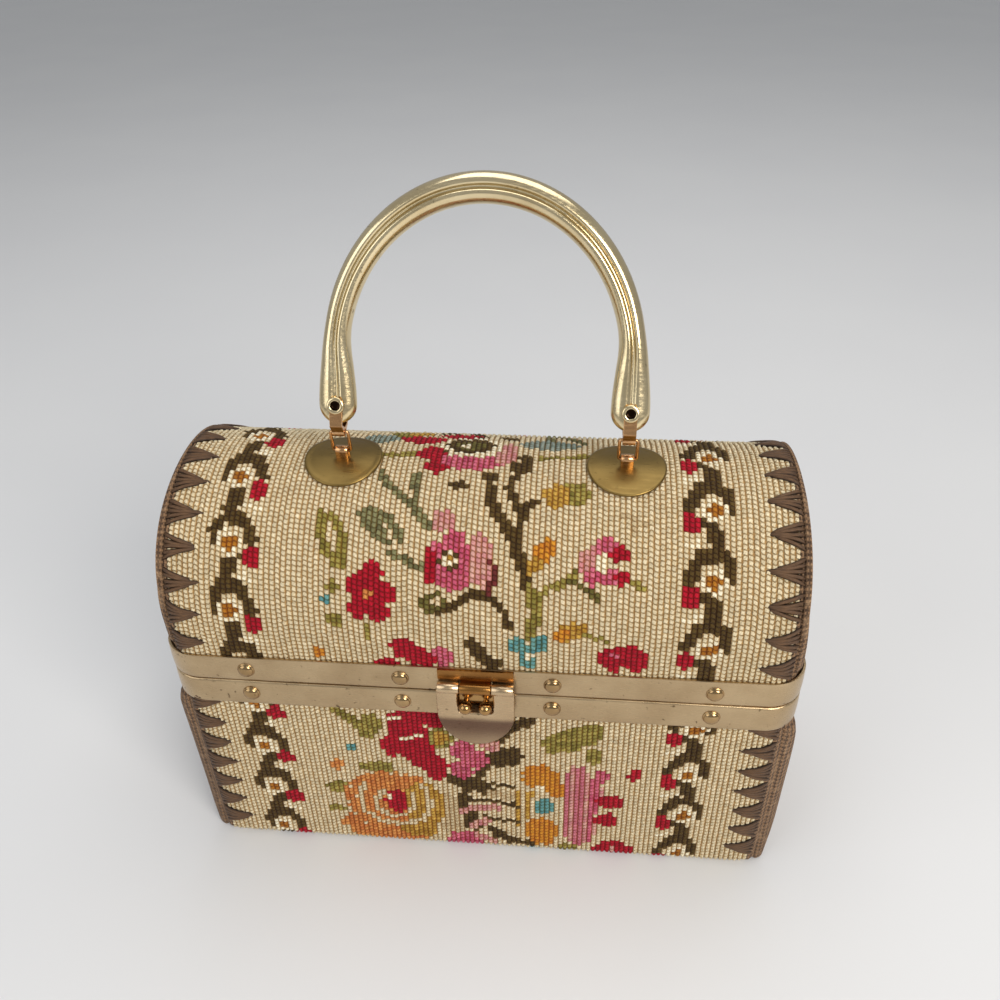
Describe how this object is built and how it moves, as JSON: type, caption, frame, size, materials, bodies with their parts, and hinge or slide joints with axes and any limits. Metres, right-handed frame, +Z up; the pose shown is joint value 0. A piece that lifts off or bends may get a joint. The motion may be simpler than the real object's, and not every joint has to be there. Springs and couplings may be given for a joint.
{
  "type": "tapestry handbag",
  "caption": "Barrel-topped box handbag with stitched floral cover, laced fabric ends, riveted metal frame bands, front flip clasp and a swinging grooved metal handle.",
  "frame": {"origin": "middle of the flat resting face of the base", "axes": "+X to the right seen from the front, +Y to the back with the hinges, +Z up; the clasp is on -Y"},
  "size_m": [0.245, 0.1159, 0.2669],
  "materials": {
    "board": "plain board",
    "tapestry": "wool tent stitch",
    "end_cloth": "rough woven cloth",
    "lacing": "slightly glossy strands",
    "lining": "plain woven lining",
    "band": "satin champagne plating",
    "rivet": "polished and tarnished",
    "clasp": "polished and tarnished",
    "plate": "dull olive brass",
    "link": "warm copper gold",
    "handle": "polished pale gold"
  },
  "bodies": {
    "base": {"base_board": "board", "base_tapestry": "tapestry", "base_end_left": "end_cloth", "base_end_right": "end_cloth", "base_lacing_left": "lacing", "base_lacing_right": "lacing", "base_lining": "lining", "base_band": "band", "base_rivets": "rivet", "clasp_catch": "clasp", "hinge_left_base_leaf": "band", "hinge_right_base_leaf": "band", "hinge_left_pin": "band", "hinge_right_pin": "band"},
    "lid": {"lid_board": "board", "lid_tapestry": "tapestry", "lid_end_left": "end_cloth", "lid_end_right": "end_cloth", "lid_lacing_left": "lacing", "lid_lacing_right": "lacing", "lid_lining": "lining", "lid_band": "band", "lid_rivets": "rivet", "hinge_left_lid_leaf": "band", "hinge_right_lid_leaf": "band", "clasp_leaf": "clasp", "clasp_pin": "clasp", "plate_left": "plate", "plate_right": "plate", "staple_left": "link", "staple_right": "link"},
    "hasp": {"clasp_hasp": "clasp"},
    "rings": {"ring_left": "link", "ring_right": "link"},
    "handle": {"handle": "handle", "link_left": "link", "link_right": "link", "eyelet_left": "link", "eyelet_right": "link"}
  },
  "joints": [
    {"name": "lid_hinge", "type": "hinge", "parent": "base", "child": "lid", "pos_m": [0, 0.0544, 0.098], "axis": [-1, 0, 0], "range_deg": [0, 100]},
    {"name": "hasp_flip", "type": "hinge", "parent": "lid", "child": "hasp", "pos_m": [0, -0.0546, 0.103], "axis": [-1, 0, 0], "range_deg": [0, 150]},
    {"name": "ring_swing", "type": "hinge", "parent": "lid", "child": "rings", "pos_m": [0, -0.00577, 0.17405], "axis": [1, 0, 0], "range_deg": [-50, 50]},
    {"name": "handle_swing", "type": "hinge", "parent": "rings", "child": "handle", "pos_m": [0, -0.00666, 0.1826], "axis": [1, 0, 0], "range_deg": [-30, 86]}
  ]
}
